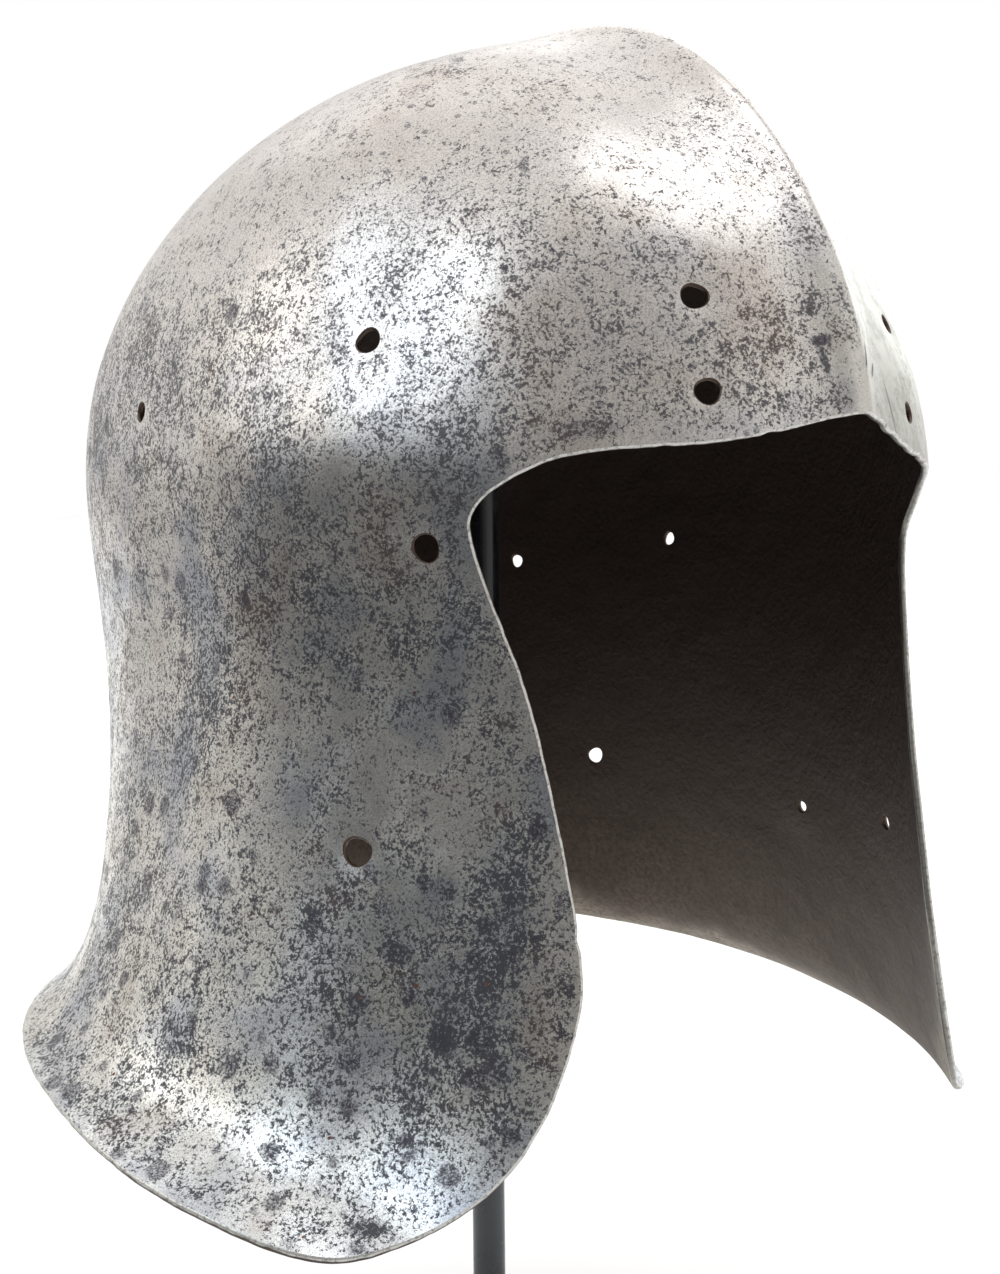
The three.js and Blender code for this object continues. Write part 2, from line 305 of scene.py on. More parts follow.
def latticePlaces(facet):
    # rings of evenly spaced places down the sheet, staggered from ring to ring
    angles, runs = [np.zeros(1)], [np.full(1, 0.02)]
    down = np.linspace(0.5, lowestRun(), 3000)
    side = keeled(np.full_like(down, -1.6), down)[0]
    length = np.cumsum(np.linalg.norm(np.diff(side, axis=0), axis=1))
    rings = np.interp(np.arange(facet, length[-1], facet * skullMesh["ringSpacing"]), length, down[1:])
    around = np.linspace(-math.pi, math.pi, 721)
    for k, run in enumerate(rings):
        ring = keeled(around, np.full_like(around, run))[0]
        path = np.concatenate([[0], np.cumsum(np.linalg.norm(np.diff(ring, axis=0), axis=1))])
        count = max(int(round(path[-1] / facet)), 6)
        at = (np.arange(count) + 0.5 * (k % 2)) / count * path[-1]
        angles.append(np.interp(at, path, around))
        runs.append(np.full(count, run))
    return np.concatenate(angles), np.concatenate(runs)


def nearestEdge(points, loops):
    # distance to the nearest edge or hole, and on which side of it each point lies
    places = np.concatenate([loop["point"] for loop in loops])
    ways = np.concatenate([loop["way"] for loop in loops])
    tree = KDTree(len(places))
    for k, place in enumerate(places.tolist()):
        tree.insert(place, k)
    tree.balance()
    found = [tree.find(p)[1:] for p in points.tolist()]
    index = np.array([f[0] for f in found])
    away = np.array([f[1] for f in found])
    return away, ((points - places[index]) * ways[index]).sum(-1) < 0


def sheetFacets(facet, loops, table):
    # triangles over the steel, meeting every loop vertex for vertex
    angle, run = latticePlaces(facet)
    away, steel = nearestEdge(keeled(angle, run)[0], loops)
    keep = steel & (away > facet * skullMesh["edgeGap"])
    angle = np.concatenate([loop["angle"] for loop in loops] + [angle[keep]])
    run = np.concatenate([loop["run"] for loop in loops] + [run[keep]])
    flat = disc(angle, run, table)
    borders, start = [], 0
    for loop in loops:
        count = len(loop["angle"])
        borders += [(start + k, start + (k + 1) % count) for k in range(count)]
        start += count
    found = delaunay_2d_cdt([Vector(p) for p in flat.tolist()], borders, [], 0, 1e-7, True)
    corners = np.array([[found[3][v][0] for v in face] for face in found[2]])  # by input point
    ids = np.concatenate([np.full(len(loop["angle"]), k) for k, loop in enumerate(loops)])
    ids = np.concatenate([ids, np.full(len(angle) - len(ids), -1)])
    onEdge = (ids[corners] >= 0).all(1)
    steel = np.ones(len(corners), bool)
    steel[onEdge] = insideSheet(flat[corners[onEdge]].mean(1), flat, loops)
    return angle, run, corners[steel]


def insideSheet(flat, allFlat, loops):
    # crossing count against every loop, in the flat lay-out
    crossings = np.zeros(len(flat), int)
    start = 0
    for loop in loops:
        count = len(loop["angle"])
        a = allFlat[start:start + count]
        b = np.roll(a, -1, 0)
        start += count
        x, y = flat[:, :1], flat[:, 1:]
        spans = (a[None, :, 1] > y) != (b[None, :, 1] > y)
        with np.errstate(divide="ignore", invalid="ignore"):
            climb = (y - a[None, :, 1]) / (b[None, :, 1] - a[None, :, 1])
            at = a[None, :, 0] + climb * (b - a)[None, :, 0]
        crossings += (spans & (x < at)).sum(1)
    return crossings % 2 == 1


def unevenness(point):
    # small hammered dents and ripples
    dents = smoothNoise(point, skullMesh["dentWidth"], 1) * skullMesh["dent"] * 2
    return dents + smoothNoise(point, skullMesh["rippleWidth"], 2) * skullMesh["ripple"] * 2


def placeSkull(points, sheet):
    # leans the skull and sets its plain sheet where the frame's skull stands
    turned = np.array(Matrix.Rotation(math.radians(skull["lean"]), 3, "Y")).T * mm
    low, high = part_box("skull")
    return points @ turned + (np.array(high) - (sheet @ turned).max(0))


def sharpen(mesh, counts, starts):
    # keeps the outer and inner corners of every edge and hole crisp
    ends = np.empty(2 * len(mesh.edges), np.int32)
    mesh.edges.foreach_get("vertices", ends)
    lower, upper = np.sort(ends.reshape(-1, 2), axis=1).T
    sharp = np.zeros(len(lower), bool)
    for start in starts:
        for count in counts:
            inLoop = (lower >= start) & (upper < start + count)
            sharp |= inLoop & ((upper - lower == 1) | (upper - lower == count - 1))
            start += count
    mark = mesh.attributes.new("sharp_edge", "BOOLEAN", "EDGE")
    mark.data.foreach_set("value", sharp)


def steelLoops():
    # the free edge and the rivet holes, each a loop with its places in space and its ways out of the steel
    loops = [raggedEdge(*edgeLoop(skullMesh["edgeFacet"]))]
    for seed, hole in enumerate(skull["rivetHoles"]):
        loops.append(holeLoop(hole, seed, skullMesh["holeFacet"]))
    return [
        {"angle": angle, "run": run, "point": keeled(angle, run)[0], "way": outOfSheet(angle, run)}
        for angle, run in loops
    ]


def sheetSide(side, facet, loops, table):
    # one side of the sheet: plain and finished points, triangles, and how far each point is from an edge
    angle, run, corners = sheetFacets(facet, loops, table)
    plain = keeled(angle, run)[0]
    perTurn, perRun = slopes(angle, run)
    outward = unit(np.cross(perRun, perTurn))
    outward[run < 1] = (0, 0, 1)  # at the very top the slopes have no direction
    edgeAway = nearestEdge(plain, loops[:1])[0]
    holeAway = nearestEdge(plain, loops[1:])[0]
    # the sheet thins towards the lip of each rivet hole
    dip = skullMesh["lipDip"] * np.exp(-holeAway / skullMesh["lipWidth"])
    push = unevenness(plain) + (-dip if side == "outside" else dip - skull["wall"])
    points = plain + outward * push[:, None]
    # the flat lay-out turns one way, so every face is checked against the outward direction
    a, b, c = (points[corners[:, k]] for k in range(3))
    facing = (np.cross(b - a, c - a) * outward[corners[:, 0]]).sum(1) > 0
    wanted = facing if side == "outside" else ~facing
    corners = np.where(wanted[:, None], corners, corners[:, ::-1])
    return plain, points, corners, np.minimum(edgeAway, holeAway)


def edgeWalls(loops, outside, inside):
    # rounded walls that join the two sides along the edge and in every hole
    points, rims, faces, slots = [], [], [], []
    rows = skullMesh["edgeRows"]
    first, total = 0, len(outside) + len(inside)
    for k, loop in enumerate(loops):
        count = len(loop["angle"])
        a, b = outside[first:first + count], inside[first:first + count]
        across = np.linalg.norm(a - b, axis=1)[:, None]
        strip = [np.arange(count) + first]
        for row in range(1, rows):
            phase = math.pi * row / rows
            share = (1 - math.cos(phase)) / 2
            bulge = math.sin(phase) / 2 * skullMesh["edgeRound"]
            points.append(a + (b - a) * share + loop["way"] * across * bulge)
            rims.append(np.full(count, -share))
            strip.append(np.arange(count) + total)
            total += count
        strip.append(np.arange(count) + len(outside) + first)
        for upper, lower in zip(strip, strip[1:]):
            ahead, below = np.roll(upper, -1), np.roll(lower, -1)
            faces += [np.stack([upper, lower, below], 1), np.stack([upper, below, ahead], 1)]
            slots.append(np.full(2 * count, 2 if k == 0 else 3))
        first += count
    return points, rims, faces, slots


def buildSkull():
    table = discTable()
    loops = steelLoops()
    outer, inner = skullMesh["outerFacet"], skullMesh["innerFacet"]
    _, outside, outsideFaces, outsideRims = sheetSide("outside", outer, loops, table)
    plain, inside, insideFaces, insideRims = sheetSide("inside", inner, loops, table)
    wallPoints, wallRims, wallFaces, wallSlots = edgeWalls(loops, outside, inside)
    points = placeSkull(np.concatenate([outside, inside] + wallPoints), plain)
    faces = np.concatenate([outsideFaces, insideFaces + len(outside)] + wallFaces)
    rims = np.concatenate([outsideRims, insideRims] + wallRims)
    slots = np.concatenate([np.zeros(len(outsideFaces)), np.ones(len(insideFaces))] + wallSlots)

    mesh = bpy.data.meshes.new("skullSheet")
    mesh.from_pydata(points.tolist(), [], faces.tolist())
    mesh.polygons.foreach_set("use_smooth", np.ones(len(faces), bool))
    mesh.polygons.foreach_set("material_index", slots.astype(np.int32))
    rim = mesh.attributes.new("rimDistance", "FLOAT", "POINT")
    rim.data.foreach_set("value", rims.astype(np.float32))
    mesh.update()
    sharpen(mesh, [len(loop["angle"]) for loop in loops], (0, len(outside)))
    piece = bpy.data.objects.new("skullSheet", mesh)
    bpy.context.scene.collection.objects.link(piece)
    print("skull", len(points), "points", len(faces), "faces")
    return piece, plain


skullPiece, plainSheet = buildSkull()


def node(tree, kind, **settings):
    made = tree.nodes.new(kind)
    for name, value in settings.items():
        setattr(made, name, value)
    return made


def feed(tree, socket, source):
    # a socket takes either another node's output or a plain value
    if isinstance(source, bpy.types.NodeSocket):
        tree.links.new(source, socket)
    else:
        socket.default_value = source


def newMaterial(name):
    made = bpy.data.materials.new(name)
    made.use_nodes = True
    tree = made.node_tree
    shader = tree.nodes["Principled BSDF"]
    place = node(tree, "ShaderNodeTexCoord").outputs["Object"]
    return made, tree, shader, place


def noiseOf(tree, place, width, detail=2.0, rough=0.5, warp=0.0):
    # noise whose features are about width millimetres across
    made = node(tree, "ShaderNodeTexNoise")
    feed(tree, made.inputs["Vector"], place)
    made.inputs["Scale"].default_value = 1 / (width * mm)
    made.inputs["Detail"].default_value = detail
    made.inputs["Roughness"].default_value = rough
    made.inputs["Distortion"].default_value = warp
    return made.outputs["Fac"]


def spread(tree, value, low, high, toLow=0.0, toHigh=1.0, smooth=True):
    made = node(tree, "ShaderNodeMapRange")
    if smooth:
        made.interpolation_type = "SMOOTHSTEP"
    feed(tree, made.inputs["Value"], value)
    for name, source in (("From Min", low), ("From Max", high), ("To Min", toLow), ("To Max", toHigh)):
        feed(tree, made.inputs[name], source)
    return made.outputs["Result"]


def mathOf(tree, kind, a, b):
    made = node(tree, "ShaderNodeMath", operation=kind)
    feed(tree, made.inputs[0], a)
    feed(tree, made.inputs[1], b)
    return made.outputs[0]


def blendOf(tree, share, a, b, kind="MIX"):
    made = node(tree, "ShaderNodeMix", data_type="RGBA", blend_type=kind)
    feed(tree, made.inputs[0], share)
    feed(tree, made.inputs[6], a)
    feed(tree, made.inputs[7], b)
    return made.outputs[2]


def bumpOf(tree, height, distance, strength, under=None):
    made = node(tree, "ShaderNodeBump")
    feed(tree, made.inputs["Height"], height)
    made.inputs["Distance"].default_value = distance * mm
    made.inputs["Strength"].default_value = strength
    if under is not None:
        feed(tree, made.inputs["Normal"], under)
    return made.outputs["Normal"]


def blendValue(tree, share, a, b):
    made = node(tree, "ShaderNodeMix", data_type="FLOAT")
    feed(tree, made.inputs[0], share)
    feed(tree, made.inputs[2], a)
    feed(tree, made.inputs[3], b)
    return made.outputs[0]


def centred(tree, value, strength):
    return mathOf(tree, "MULTIPLY", mathOf(tree, "SUBTRACT", value, 0.5), strength)


def anyOf(tree, values):
    total = values[0]
    for value in values[1:]:
        total = mathOf(tree, "MAXIMUM", total, value)
    return total


def axisOf(tree, place, axis):
    split = node(tree, "ShaderNodeSeparateXYZ")
    feed(tree, split.inputs[0], place)
    return split.outputs[axis]


def rimOf(tree):
    # millimetres from the nearest edge on the sheet; in the edge 0 at the outer corner, -1 at the inner one
    return node(tree, "ShaderNodeAttribute", attribute_name="rimDistance").outputs["Fac"]


def skullLevel(share):
    # the level at a share of the skull's height above its lowest rim
    low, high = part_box("skull")
    return low[2] + share * (high[2] - low[2])


steelLook = {
    "crown": (0.79, 0.745, 0.72, 1),
    "side": (0.84, 0.83, 0.78, 1),
    # the flare's own metal, made brighter and bluer as a painted reflection of bluish light
    "flare": (0.93, 0.955, 0.97, 1),
    "cool": (0.46, 0.49, 0.56, 1),
    "brown": (0.60, 0.54, 0.48, 1),
    "grainShade": (0.48, 0.48, 0.48, 1),
    "polished": (0.53, 0.535, 0.505, 1),
    "polishedGrey": (0.42, 0.43, 0.395, 1),
    "shallowPit": (0.125, 0.121, 0.129, 1),
    # pits lower down are darker, and bluer as a painted reflection of bluish light
    "lowerPit": (0.077, 0.079, 0.09, 1),
    "brownPit": (0.135, 0.088, 0.074, 1),
    "blot": (0.05, 0.046, 0.066, 1),
    "crack": (0.036, 0.03, 0.024, 1),
    "rust": (0.20, 0.09, 0.06, 1),
    "roughness": (0.21, 0.31),  # clear metal and hazy metal
    "pitRoughness": 0.42,
    "pitMetal": 0.6,
    "noises": {  # width, detail, how rough, warp
        "grain": (0.45, 2, 0.6),
        "worm": (0.78, 3, 0.78, 0.15),
        "mid": (2.4, 2, 0.5, 0.3),
        "cluster": (9, 3, 0.55, 0.5),
        "tint": (24, 2, 0.5),
        "drift": (45, 2, 0.5),
        "rust": (2.6, 1, 0.5),
    },
    "pitMix": (("mid", 0.32), ("cluster", 0.27), ("drift", 0.20)),  # how the wider noises gather the pits
    "pitGrowth": (-0.06, 0.016),  # on the crown, and from the brow down
    "pitShift": (-0.06, -0.16, 0.12),  # along the edge, on polished places, on dark places
    "pitEdge": (0.494, 0.582),  # where a pit starts and where it is full
    "pitDepth": 0.045,
    "rustEdge": (0.80, 0.82),
    "dotCell": 4.2,  # cells that hold the round pits and the blots
    "dotRadius": (0.35, 0.95),
    "dotShare": 0.75,
    "blotCell": 8,
    "blotRadius": (0.9, 3.0),
    "cleanMargin": 3.0,  # calmer metal along the free edge
    "polishedPlaces": [  # degrees round, height, reach round, reach down, tilt, softness, strength
        (15, 30, 30, 44, 0, 0.8, 1),
    ],
    "darkPlaces": [  # the same values
        (-4.3, 36, 2.6, 1.4, 10, 1.0, 0.85), (-4.4, 32.5, 0.9, 4.0, 8, 1.0, 0.7),
        (-5.1, 42.7, 2.0, 2.0, 0, 0.9, 0.5), (-2.6, 24.5, 3.0, 4.0, 0, 1.0, 0.6),
        (-33.5, 15.7, 6.5, 2.2, 10, 1.0, 0.6), (-3.6, 57.5, 5, 9, 0, 1.2, 0.3),
        (-24, 54.7, 10, 5, 0, 1.2, 0.25), (-56, -26, 7, 14, 0, 1.4, 0.15),
        (-62, -82, 9, 36, 0, 1.5, 0.38), (-41, -88, 8, 36, 0, 1.5, 0.3),
        (-47.4, -82.5, 2.6, 2.6, 0, 0.9, 0.7), (-40, -84.3, 2.2, 2.4, 0, 0.9, 0.7),
        (-42.6, -89.2, 2.4, 2.0, 0, 0.9, 0.7), (-52.9, -96.9, 2.8, 2.2, 0, 0.9, 0.7),
        (-57, -108.4, 3.0, 2.4, 0, 0.9, 0.7), (-46.9, -112.7, 2.8, 3.0, 0, 0.9, 0.8),
        (-40.6, -118, 2.6, 3.8, 20, 0.9, 0.7), (-79, -124, 4, 3, 0, 1.0, 0.5),
        (-52.4, -149, 4, 1.8, 0, 0.9, 0.7),
    ],
    "cracks": [
        (2.0, 33.4, 0.8, 3.6, -35, 0.8, 1), (4.4, 31.2, 0.6, 2.6, -50, 0.8, 0.9),
        (9.4, 25, 0.5, 6.5, 12, 0.8, 0.6),
    ],
}


def pointOn(degrees, height):
    # a place on the skull's outside, with the directions round it, down it and out of it
    angle, run = math.radians(degrees), float(runAt(height))
    point, outward = keeled(np.array([angle]), np.array([run]))
    around = unit(slopes(np.array([angle]), np.array([run]))[0])
    down = np.cross(outward, around)
    placed = placeSkull(np.concatenate([point, point + around, point + down, point + outward]), plainSheet)
    return placed[0], [Vector((placed[k] - placed[0]) / mm) for k in (1, 2, 3)]


def markAt(tree, place, mark, uneven):
    # 1 on a small oval place of the outside, fading to 0 round it
    degrees, height, reach, tall, tilt, soft, strength = mark
    centre, (around, down, outward) = pointOn(degrees, height)
    turned = Matrix((around, down, outward)).transposed() @ Matrix.Rotation(math.radians(tilt), 3, "Z")
    oval = node(tree, "ShaderNodeMapping", vector_type="TEXTURE")
    feed(tree, oval.inputs["Vector"], place)
    oval.inputs["Location"].default_value = centre
    oval.inputs["Rotation"].default_value = turned.to_euler()
    oval.inputs["Scale"].default_value = Vector((reach, tall, 30)) * mm
    length = node(tree, "ShaderNodeVectorMath", operation="LENGTH")
    feed(tree, length.inputs[0], oval.outputs[0])
    away = mathOf(tree, "ADD", length.outputs["Value"], uneven)
    return spread(tree, away, 1 + soft / 2, 1 - soft / 2, 0, strength)


def marksOf(tree, place, marks, uneven):
    return anyOf(tree, [markAt(tree, place, mark, uneven) for mark in marks])


def dotsOf(tree, place, cell, radii, share, uneven):
    # round spots of uneven size, at most one to a cell
    cells = node(tree, "ShaderNodeTexVoronoi")
    feed(tree, cells.inputs["Vector"], place)
    cells.inputs["Scale"].default_value = 1 / (cell * mm)
    chance = node(tree, "ShaderNodeSeparateColor")
    feed(tree, chance.inputs[0], cells.outputs["Color"])
    radius = spread(tree, chance.outputs["Green"], 0, 1, radii[0] / cell, radii[1] / cell, False)
    radius = mathOf(tree, "MULTIPLY", radius, mathOf(tree, "LESS_THAN", chance.outputs["Red"], share))
    away = mathOf(tree, "SUBTRACT", mathOf(tree, "ADD", cells.outputs["Distance"], uneven), radius)
    return spread(tree, away, 0.03, -0.05)


def pitShare(tree, speck, downward, nearRim, polished, dark):
    # fine pitting all over, sparse on the crown and dense from the brow down
    field = speck["worm"]
    for name, strength in steelLook["pitMix"]:
        field = mathOf(tree, "ADD", field, centred(tree, speck[name], strength))
    field = mathOf(tree, "ADD", field, spread(tree, downward, 0.08, 0.3, *steelLook["pitGrowth"]))
    for share, strength in zip((nearRim, polished, dark), steelLook["pitShift"]):
        field = mathOf(tree, "ADD", field, mathOf(tree, "MULTIPLY", share, strength))
    return spread(tree, field, *steelLook["pitEdge"])


def roundPits(tree, place, speck):
    uneven = centred(tree, speck["worm"], 0.16)
    return dotsOf(tree, place, steelLook["dotCell"], steelLook["dotRadius"], steelLook["dotShare"], uneven)


def stainShare(tree, place, speck, downward, polished, dark, dots):
    # dark blots that grow in number down to the flared rim, with the round pits and the dark places
    share = mathOf(tree, "ADD", spread(tree, downward, 0.3, 0.95), centred(tree, speck["drift"], 0.6))
    uneven = centred(tree, speck["worm"], 0.5)
    blots = dotsOf(tree, place, steelLook["blotCell"], steelLook["blotRadius"], share, uneven)
    stain = mathOf(tree, "MAXIMUM", mathOf(tree, "MULTIPLY", dots, 0.8), blots)
    stain = mathOf(tree, "MULTIPLY", stain, mathOf(tree, "SUBTRACT", 1, polished))
    stain = mathOf(tree, "MULTIPLY", stain, spread(tree, speck["grain"], 0.35, 0.6, 0.35, 1.0))
    return mathOf(tree, "MAXIMUM", stain, spread(tree, dark, 0.5, 0.9, 0, 0.8))


def cleanSteel(tree, speck, downward, polished, dark):
    # the metal between the pits, with its bluish and brownish tints
    look = steelLook
    lower = mathOf(tree, "ADD", downward, centred(tree, speck["cluster"], 0.1))
    clean = blendOf(tree, downward, look["crown"], look["side"])
    # the flare's own metal, brighter and bluer as a painted reflection of bluish light
    clean = blendOf(tree, spread(tree, lower, 0.87, 0.97), clean, look["flare"])
    cool = spread(tree, speck["tint"], 0.45, 0.70, 0, 0.75)
    cool = mathOf(tree, "MULTIPLY", cool, spread(tree, downward, 0.15, 0.45, 0.15, 1))
    clean = blendOf(tree, cool, clean, look["cool"])
    clean = blendOf(tree, spread(tree, speck["tint"], 0.46, 0.30, 0, 0.45), clean, look["brown"])
    clean = blendOf(tree, mathOf(tree, "MULTIPLY", dark, 0.75), clean, look["cool"])
    grain = spread(tree, speck["grain"], 0.40, 0.64, 0, 0.5)
    clean = blendOf(tree, grain, clean, look["grainShade"], "MULTIPLY")
    bare = mathOf(tree, "ADD", centred(tree, speck["cluster"], 0.8), speck["mid"])
    bare = blendOf(tree, spread(tree, bare, 0.42, 0.66), look["polished"], look["polishedGrey"])
    return blendOf(tree, polished, clean, bare)


def pitColour(tree, speck, downward):
    # darker pits lower down, their blue tint a painted reflection
    pit = blendOf(tree, spread(tree, downward, 0.25, 0.5), steelLook["shallowPit"], steelLook["lowerPit"])
    return blendOf(tree, spread(tree, speck["tint"], 0.50, 0.30, 0, 0.5), pit, steelLook["brownPit"])


def outsideSteel():
    made, tree, shader, place = newMaterial("pittedSteel")
    look = steelLook
    downward = spread(tree, axisOf(tree, place, "Z"), skullLevel(0.95), skullLevel(0.05), smooth=False)
    nearRim = spread(tree, rimOf(tree), look["cleanMargin"], 0.5)
    speck = {name: noiseOf(tree, place, *size) for name, size in look["noises"].items()}

    polished = marksOf(tree, place, look["polishedPlaces"], centred(tree, speck["cluster"], 0.5))
    uneven = mathOf(tree, "ADD", centred(tree, speck["mid"], 1.6), centred(tree, speck["worm"], 1.6))
    dark = marksOf(tree, place, look["darkPlaces"], uneven)
    crack = marksOf(tree, place, look["cracks"], centred(tree, speck["mid"], 1.2))
    pits = pitShare(tree, speck, downward, nearRim, polished, dark)
    dots = roundPits(tree, place, speck)
    stain = stainShare(tree, place, speck, downward, polished, dark, dots)

    clean = cleanSteel(tree, speck, downward, polished, dark)
    colour = blendOf(tree, pits, clean, pitColour(tree, speck, downward))
    colour = blendOf(tree, mathOf(tree, "MULTIPLY", stain, 0.85), colour, look["blot"])
    colour = blendOf(tree, crack, colour, look["crack"])
    colour = blendOf(tree, spread(tree, speck["rust"], *look["rustEdge"]), colour, look["rust"])
    feed(tree, shader.inputs["Base Color"], colour)
    dull = anyOf(tree, [pits, stain, crack])
    feed(tree, shader.inputs["Metallic"], spread(tree, dull, 0, 1, 1.0, look["pitMetal"], False))
    haze = spread(tree, speck["cluster"], 0.3, 0.7, *look["roughness"])
    feed(tree, shader.inputs["Roughness"], blendValue(tree, dull, haze, look["pitRoughness"]))
    relief = mathOf(tree, "ADD", speck["worm"], centred(tree, speck["mid"], 0.36))
    relief = mathOf(tree, "ADD", relief, mathOf(tree, "MULTIPLY", dots, 0.6))
    feed(tree, shader.inputs["Normal"], bumpOf(tree, relief, -look["pitDepth"], 0.8))
    return made


insideLook = {
    "dark": (0.054, 0.036, 0.027, 1),
    # painted light: paler inside low down and palest at the lower edge, where light reaches in
    "paintedLightLow": (0.175, 0.135, 0.102, 1),
    "paintedLightEdge": (0.46, 0.41, 0.33, 1),
    "metal": 0.25,
    "roughness": (0.5, 0.7),
    "scale": (1.5, 4, 0.62),  # width, detail, how rough
    "patch": (14, 3, 0.55),
    "skin": (0.8, 3, 0.6),
}


def insideSteel():
    # dark inside, with painted light making it paler low down and most of all near the lower edge, broken
    # into uneven patches
    made, tree, shader, place = newMaterial("darkInside")
    look = insideLook
    scale, patch, skin = (noiseOf(tree, place, *look[name]) for name in ("scale", "patch", "skin"))
    height = mathOf(tree, "ADD", axisOf(tree, place, "Z"), centred(tree, patch, 30 * mm))
    # painted light: paler low down, broken into uneven patches
    paintedLightLow = spread(tree, height, skullLevel(0.36), skullLevel(0.05))
    paintedLightLow = mathOf(tree, "MULTIPLY", paintedLightLow, spread(tree, scale, 0.36, 0.64, 0.2, 1.0))
    paintedLightLow = mathOf(tree, "MULTIPLY", paintedLightLow, spread(tree, patch, 0.35, 0.62, 0.55, 1.0))
    colour = blendOf(tree, paintedLightLow, look["dark"], look["paintedLightLow"])
    # painted light: palest near the lower edge
    fromRim = mathOf(tree, "ADD", rimOf(tree), centred(tree, patch, 26))
    fromRim = mathOf(tree, "ADD", fromRim, centred(tree, scale, 14))
    low = spread(tree, height, skullLevel(0.26), skullLevel(0.10))
    paintedLightEdge = mathOf(tree, "MULTIPLY", spread(tree, fromRim, 15, -4), low)
    paintedLightEdge = mathOf(tree, "MULTIPLY", paintedLightEdge, spread(tree, scale, 0.35, 0.62, 0.3, 1.0))
    colour = blendOf(tree, paintedLightEdge, colour, look["paintedLightEdge"])
    feed(tree, shader.inputs["Base Color"], colour)
    shader.inputs["Metallic"].default_value = look["metal"]
    feed(tree, shader.inputs["Roughness"], spread(tree, scale, 0.3, 0.7, *look["roughness"]))
    relief = bumpOf(tree, patch, 2.0, 0.6)
    relief = bumpOf(tree, scale, 0.5, 0.8, relief)
    feed(tree, shader.inputs["Normal"], bumpOf(tree, skin, 0.1, 0.5, relief))
    return made


edgeLook = {
    "bright": (0.66, 0.65, 0.62, 1),
    # painted shade for the inner part of the edge, and a lighter painted shade on the left side
    "shade": (0.075, 0.055, 0.045, 1),
    "leftShade": (0.30, 0.295, 0.27, 1),
    "hole": (0.10, 0.068, 0.052, 1),
    "dirt": (0.108, 0.10, 0.092, 1),
    "metal": 0.85,
    "roughness": (0.28, 0.5),
    "grain": (0.9, 3, 0.65),  # width, detail, how rough
    "wander": (3.5, 2, 0.5),
    "leftFrom": (0.004, 0.03),  # metres left of the middle
}


def edgeSteel(name, bright, shade, leftShade):
    # rubbed bright at the outer corner, with painted shade darkening it towards the inner one, less dark on
    # the left side
    made, tree, shader, place = newMaterial(name)
    look = edgeLook
    low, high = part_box("skull")
    middle = (low[0] + high[0]) / 2
    grain, wander = (noiseOf(tree, place, *look[kind]) for kind in ("grain", "wander"))
    across = mathOf(tree, "ADD", rimOf(tree), centred(tree, wander, 0.5))
    # painted shade: darker towards the inner corner, lighter on the left side
    left = spread(tree, axisOf(tree, place, "X"), *(middle + away for away in look["leftFrom"]))
    under = blendOf(tree, left, shade, leftShade)
    colour = blendOf(tree, spread(tree, across, -0.22, -0.42), bright, under)
    colour = blendOf(tree, spread(tree, grain, 0.5, 0.66, 0, 0.55), colour, look["dirt"])
    feed(tree, shader.inputs["Base Color"], colour)
    shader.inputs["Metallic"].default_value = look["metal"]
    feed(tree, shader.inputs["Roughness"], spread(tree, grain, 0.3, 0.7, *look["roughness"]))
    feed(tree, shader.inputs["Normal"], bumpOf(tree, grain, 0.12, 0.5))
    return made


paintLook = {
    "colour": (0.008, 0.009, 0.012, 1),
    # painted reflection: the post is lighter low down, as if mirroring the bright room
    "paintedReflectionLow": (0.068, 0.076, 0.085, 1),
    "paintedReflectionFrom": (0.11, 0.03),  # metres above the helmet's lowest rim
    "dust": (0.05, 0.055, 0.06, 1),
    "dustSize": (9, 5, 0.6),  # width, detail, how rough
    "brushSize": (1.6, 2, 0.5),
    "roughness": (0.20, 0.30),
}


def blackPaint():
    made, tree, shader, place = newMaterial("blackPaint")
    look = paintLook
    dust = noiseOf(tree, place, *look["dustSize"])
    # painted reflection: lighter towards the bottom of the post
    paintedReflectionLow = spread(tree, axisOf(tree, place, "Z"), *(skullLevel(0) + above for above in look["paintedReflectionFrom"]))
    colour = blendOf(tree, paintedReflectionLow, look["colour"], look["paintedReflectionLow"])
    colour = blendOf(tree, spread(tree, dust, 0.45, 0.8, 0, 0.6), colour, look["dust"])
    feed(tree, shader.inputs["Base Color"], colour)
    feed(tree, shader.inputs["Roughness"], spread(tree, dust, 0.3, 0.75, *look["roughness"]))
    brush = noiseOf(tree, place, *look["brushSize"])
    feed(tree, shader.inputs["Normal"], bumpOf(tree, brush, 0.02, 0.3))
    return made


rubbedEdgeWithPaintedShade = edgeSteel("rubbedEdgeWithPaintedShade", edgeLook["bright"], edgeLook["shade"], edgeLook["leftShade"])
holeWall = edgeSteel("holeWall", edgeLook["hole"], edgeLook["hole"], edgeLook["hole"])
for made in (outsideSteel(), insideSteel(), rubbedEdgeWithPaintedShade, holeWall):
    skullPiece.data.materials.append(made)
paint = blackPaint()
for name in ("stand_post", "stand_pad", "stand_foot"):
    stand = bpy.data.objects[name]
    stand.data.materials.clear()
    stand.data.materials.append(paint)
print("materials")

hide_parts("skull")
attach(skullPiece, "root")


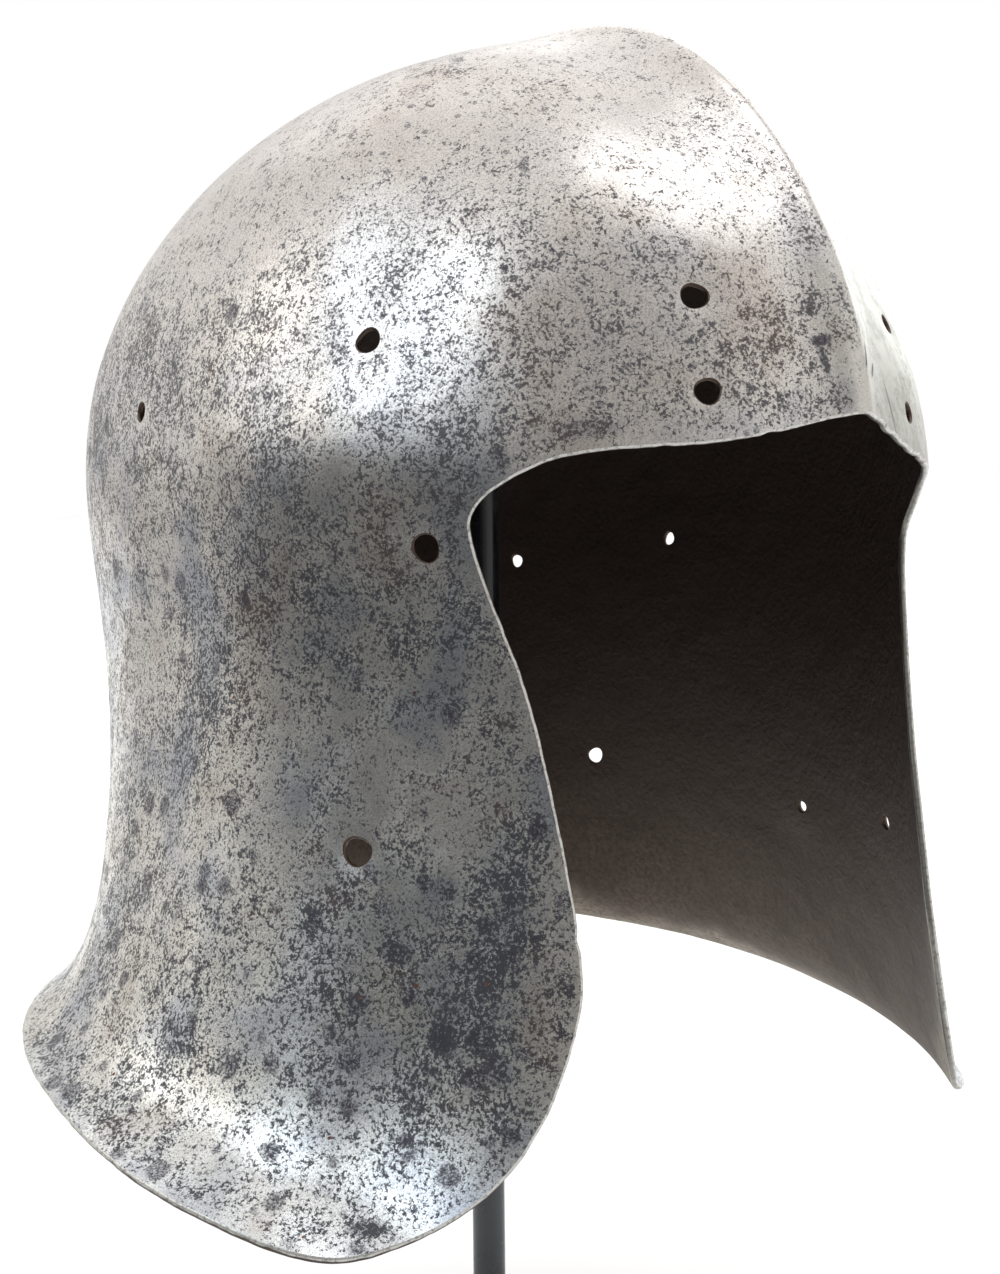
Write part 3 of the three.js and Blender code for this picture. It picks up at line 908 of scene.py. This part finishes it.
studio = {
    "floorNear": -0.45,
    "floorFar": 4.0,
    "floor": (0.88, 0.88, 0.885, 1),
    "floorRoughness": 0.7,
    "backdrop": (1, 1, 1, 1),
    "room": (0.90, 0.88, 0.855, 1),  # what the steel mirrors where no panel stands
    "panels": [  # azimuth, elevation, even to, gone at, colour
        (151, 48, 21, 26, (1.17, 1.15, 1.12, 1)),
        (-82, 36, 12, 31, (2.26, 2.46, 2.64, 1)),
        (-30, 27, 2, 49, (0.44, 0.42, 0.405, 1)),
        (51, 69, 11, 21, (2.0, 2.0, 2.0, 1)),
        (117, 24, 14, 25, (1.80, 1.80, 1.76, 1)),
        (-126, 20, 2, 25, (2.24, 2.21, 2.14, 1)),
        (-175, -18, 12, 21, (0.27, 0.26, 0.25, 1)),
        (-83, -42, 50, 89, (0.19, 0.19, 0.185, 1)),
    ],
}


def addFloor():
    near, far = studio["floorNear"], studio["floorFar"]
    mesh = bpy.data.meshes.new("floor")
    corners = [(near, near, 0), (far, near, 0), (far, far, 0), (near, far, 0)]
    mesh.from_pydata(corners, [], [(0, 1, 2, 3)])
    piece = bpy.data.objects.new("floor", mesh)
    bpy.context.scene.collection.objects.link(piece)
    made, tree, shader, place = newMaterial("paleFloor")
    feed(tree, shader.inputs["Base Color"], studio["floor"])
    shader.inputs["Roughness"].default_value = studio["floorRoughness"]
    mesh.materials.append(made)


def wayTo(azimuth, elevation):
    # azimuth 0 is in front of the face, 90 on the wearer's left
    a, e = math.radians(azimuth), math.radians(elevation)
    return Vector((math.sin(a) * math.cos(e), -math.cos(a) * math.cos(e), math.sin(e)))


def addWorld():
    world = bpy.data.worlds.new("studio")
    bpy.context.scene.world = world
    world.use_nodes = True
    tree = world.node_tree
    way = node(tree, "ShaderNodeTexCoord").outputs["Generated"]
    level = studio["room"]
    for azimuth, elevation, even, gone, colour in studio["panels"]:
        facing = node(tree, "ShaderNodeVectorMath", operation="DOT_PRODUCT")
        feed(tree, facing.inputs[0], way)
        facing.inputs[1].default_value = wayTo(azimuth, elevation)
        edge = (math.cos(math.radians(angle)) for angle in (gone, even))
        share = spread(tree, facing.outputs["Value"], *edge)
        level = blendOf(tree, share, level, colour)
    sight = node(tree, "ShaderNodeLightPath").outputs["Is Camera Ray"]
    seen = blendOf(tree, sight, level, studio["backdrop"])
    feed(tree, tree.nodes["Background"].inputs["Color"], seen)


floorWash = {"place": (1.2, 1.2, 1.6), "aim": (1.2, 1.2, 0), "size": 2.5, "power": 25}


def addFloorWash():
    # lights the floor behind the stand without showing in the steel
    light = bpy.data.lights.new("floorWash", "AREA")
    light.shape = "RECTANGLE"
    light.size = light.size_y = floorWash["size"]
    light.energy = floorWash["power"]
    made = bpy.data.objects.new("floorWash", light)
    bpy.context.scene.collection.objects.link(made)
    made.location = floorWash["place"]
    away = Vector(floorWash["place"]) - Vector(floorWash["aim"])
    made.rotation_euler = away.to_track_quat("Z", "Y").to_euler()
    made.visible_camera = False
    made.visible_glossy = False


viewpoint = {  # metres, degrees, millimetres of lens
    "place": (-0.3383, -0.3941, 0.2901),
    "yaw": 41.16,
    "pitch": -7.04,
    "roll": -0.55,
    "lens": 54.82,
}


def addCamera():
    camera = bpy.data.cameras.new("camera")
    camera.lens = viewpoint["lens"]
    camera.sensor_width = 36
    camera.clip_start = 0.01
    made = bpy.data.objects.new("camera", camera)
    bpy.context.scene.collection.objects.link(made)
    yaw, pitch, roll = (math.radians(viewpoint[name]) for name in ("yaw", "pitch", "roll"))
    turn = Matrix.Rotation(-yaw, 4, "Z") @ Matrix.Rotation(math.pi / 2 + pitch, 4, "X")
    turn = turn @ Matrix.Rotation(roll, 4, "Z")
    made.matrix_world = Matrix.Translation(viewpoint["place"]) @ turn
    bpy.context.scene.camera = made


addFloor()
addWorld()
addFloorWash()
addCamera()
bpy.context.scene.view_settings.view_transform = "Standard"
print("studio")
